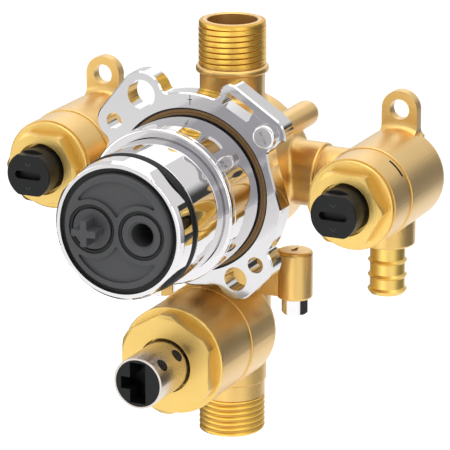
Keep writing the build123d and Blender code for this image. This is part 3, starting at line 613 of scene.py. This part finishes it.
# Pipe threads
# Both outlets carry a half inch pipe thread cut into the casting. The upper one has wide flat
# crests and ends in a plain bevelled rim; the lower one is rolled, below a plain band.
outlet_y = 0.0305
pitch = 0.00181
crest_r = 0.01065
rim_r = crest_r - 0.0001
band_r = crest_r - 0.00005
shoulder_r = crest_r - 0.0003
bevel_r = crest_r - 0.00035
cup_r = 0.0094
flat_thread = (
    (-0.5, 0.00042), (-0.36, 0.00002), (-0.2, 0.0), (0.2, 0.0), (0.36, 0.00002), (0.5, 0.00042),
)
round_thread = (
    (-0.5, 0.00060), (-0.4, 0.00050), (-0.25, 0.00020), (-0.1, 0.00003), (0.0, 0.0),
    (0.1, 0.00003), (0.25, 0.00020), (0.4, 0.00050), (0.5, 0.00060),
)
thread_core = 0.0093
thread_steps = 72
top_thread_low = 0.0339
rim_length = 0.0017
run_out = 0.0004
rolled_high = -0.0764
band_high = -0.0740
thread_colour = (0.96, 0.60, 0.08)
thread_sheen = (0.6, 0.45, 1.7)
root_shade_colour = (0.40, 0.18, 0.025)
root_shade_start = 0.00008
root_shade_full = 0.00040
root_shade_most = 0.6
root_shade_roughness = 0.15

thread_brass, shader, place = finish(
    "thread_brass", thread_colour, cast_roughness, coat=thread_sheen
)
x, y, z = place.parts()
from_axis = span(x, y - outlet_y)
skin = noise(place, cast_grain)
# Painted shade: the thread's roots are painted darker brown, more so deeper below the crests.
root_shade = from_axis.node(
    "ShaderNodeMapRange", Value=from_axis, From_Min=crest_r - root_shade_start,
    From_Max=crest_r - root_shade_full, To_Min=0.0, To_Max=root_shade_most,
)
feed(shader, "Base Color", blend(root_shade, thread_colour, root_shade_colour))
feed(shader, "Coat Weight", (1 - root_shade) * thread_sheen[0])
lowest = cast_roughness - grain_spread / 2
feed(shader, "Roughness", skin * grain_spread + root_shade * root_shade_roughness + lowest)
feed(shader, "Normal", bump(skin, cast_grain_depth))


def round_piece(name, shape, brass):
    """Sets a spun shape on the outlets' axis and makes it a piece of the casting."""
    bmesh.ops.remove_doubles(shape, verts=shape.verts, dist=merge_distance)
    bmesh.ops.translate(shape, verts=shape.verts, vec=(0, outlet_y, 0))
    piece = finished_piece(name, shape, brass)
    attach(piece, "valve")


def thread(name, low, high, form):
    """A helix from low to high; form gives each point's share of the pitch and its depth."""
    turns = (high - low) / pitch + 1
    shape = bmesh.new()
    ring = [
        shape.verts.new((crest_r - depth, 0, low + (share - 0.5) * pitch)) for share, depth in form
    ]
    ring.append(shape.verts.new((thread_core, 0, low)))
    ring.append(shape.verts.new((thread_core, 0, low - pitch)))
    face = shape.faces.new(ring)
    bmesh.ops.spin(
        shape, geom=[face] + ring + list(face.edges), cent=(0, 0, 0), axis=(0, 0, 1),
        dvec=(0, 0, pitch / thread_steps), angle=2 * pi * turns,
        steps=int(turns * thread_steps), use_merge=False,
    )
    for end, way in ((low, -1), (high, 1)):
        bmesh.ops.bisect_plane(
            shape, geom=shape.verts[:] + shape.edges[:] + shape.faces[:], plane_co=(0, 0, end),
            plane_no=(0, 0, way), clear_outer=True,
        )
    bmesh.ops.holes_fill(shape, edges=[edge for edge in shape.edges if edge.is_boundary])
    round_piece(name, shape, thread_brass)


def band(name, line, brass):
    """A plain ring round the outlets' axis; line gives radii with their heights."""
    shape = bmesh.new()
    ring = [shape.verts.new((radius, 0, z)) for radius, z in line]
    face = shape.faces.new(ring)
    bmesh.ops.spin(
        shape, geom=[face] + ring + list(face.edges), cent=(0, 0, 0), axis=(0, 0, 1),
        angle=2 * pi, steps=thread_steps, use_merge=True,
    )
    cross_walls = [face for face in shape.faces if len(face.verts) > 4]
    bmesh.ops.delete(shape, geom=cross_walls, context="FACES_ONLY")
    round_piece(name, shape, brass)


body_low, body_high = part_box("valve_body")
rim_low = body_high.z - rim_length
thread("top_thread", top_thread_low, rim_low, flat_thread)
thread("bottom_thread", body_low.z + run_out, rolled_high, round_thread)
band("top_rim", (
    (thread_core, rim_low), (shoulder_r, rim_low), (rim_r, rim_low + 0.0002),
    (rim_r, body_high.z - 0.0008), (bevel_r, body_high.z - 0.0003),
    (cup_r, body_high.z - 0.00002), (thread_core, body_high.z - 0.0002),
), thread_brass)
band("bottom_band", (
    (thread_core, rolled_high), (shoulder_r, rolled_high), (band_r, rolled_high + 0.0003),
    (band_r, band_high), (thread_core, band_high),
), cast_brass)
